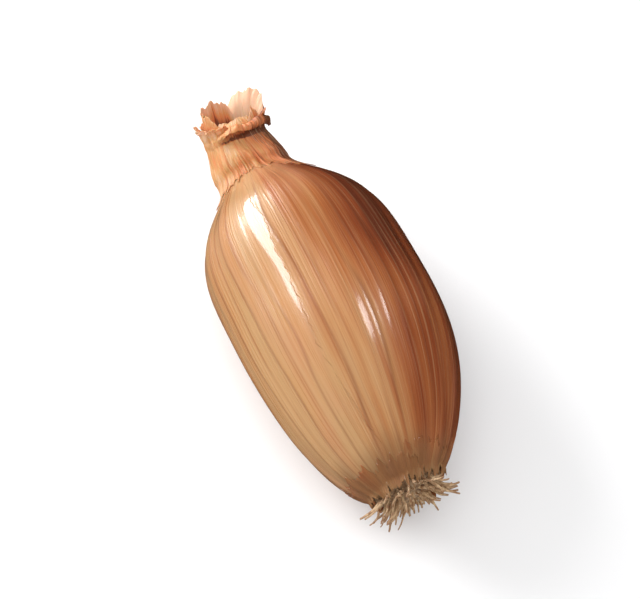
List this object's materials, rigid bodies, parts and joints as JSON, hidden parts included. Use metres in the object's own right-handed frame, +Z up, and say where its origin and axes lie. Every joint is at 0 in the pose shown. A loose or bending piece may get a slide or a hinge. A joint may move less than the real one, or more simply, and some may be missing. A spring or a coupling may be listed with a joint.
{
  "type": "shallot",
  "caption": "Long shallot lying on its side: a full, tapered bulb in glossy copper skin, with a torn, curled papery neck and a root plate with short dried roots.",
  "frame": {"origin": "middle of the flat spot on the bulb's underside that the shallot rests on", "axes": "+X along the bulb from its root end to its neck, +Z up, +Y to the left when looking along +X"},
  "size_m": [0.0631, 0.0253, 0.0222],
  "materials": {
    "bulb_skin": "glossy thin papery skin with fine lengthwise veins",
    "dried_sheath": "dry, papery, with a soft sheen",
    "corky_root": "matte, corky and fibrous"
  },
  "bodies": {
    "root": {"bulb": "bulb_skin", "neck_husk": "dried_sheath", "root_plate": "corky_root"}
  },
  "joints": []
}
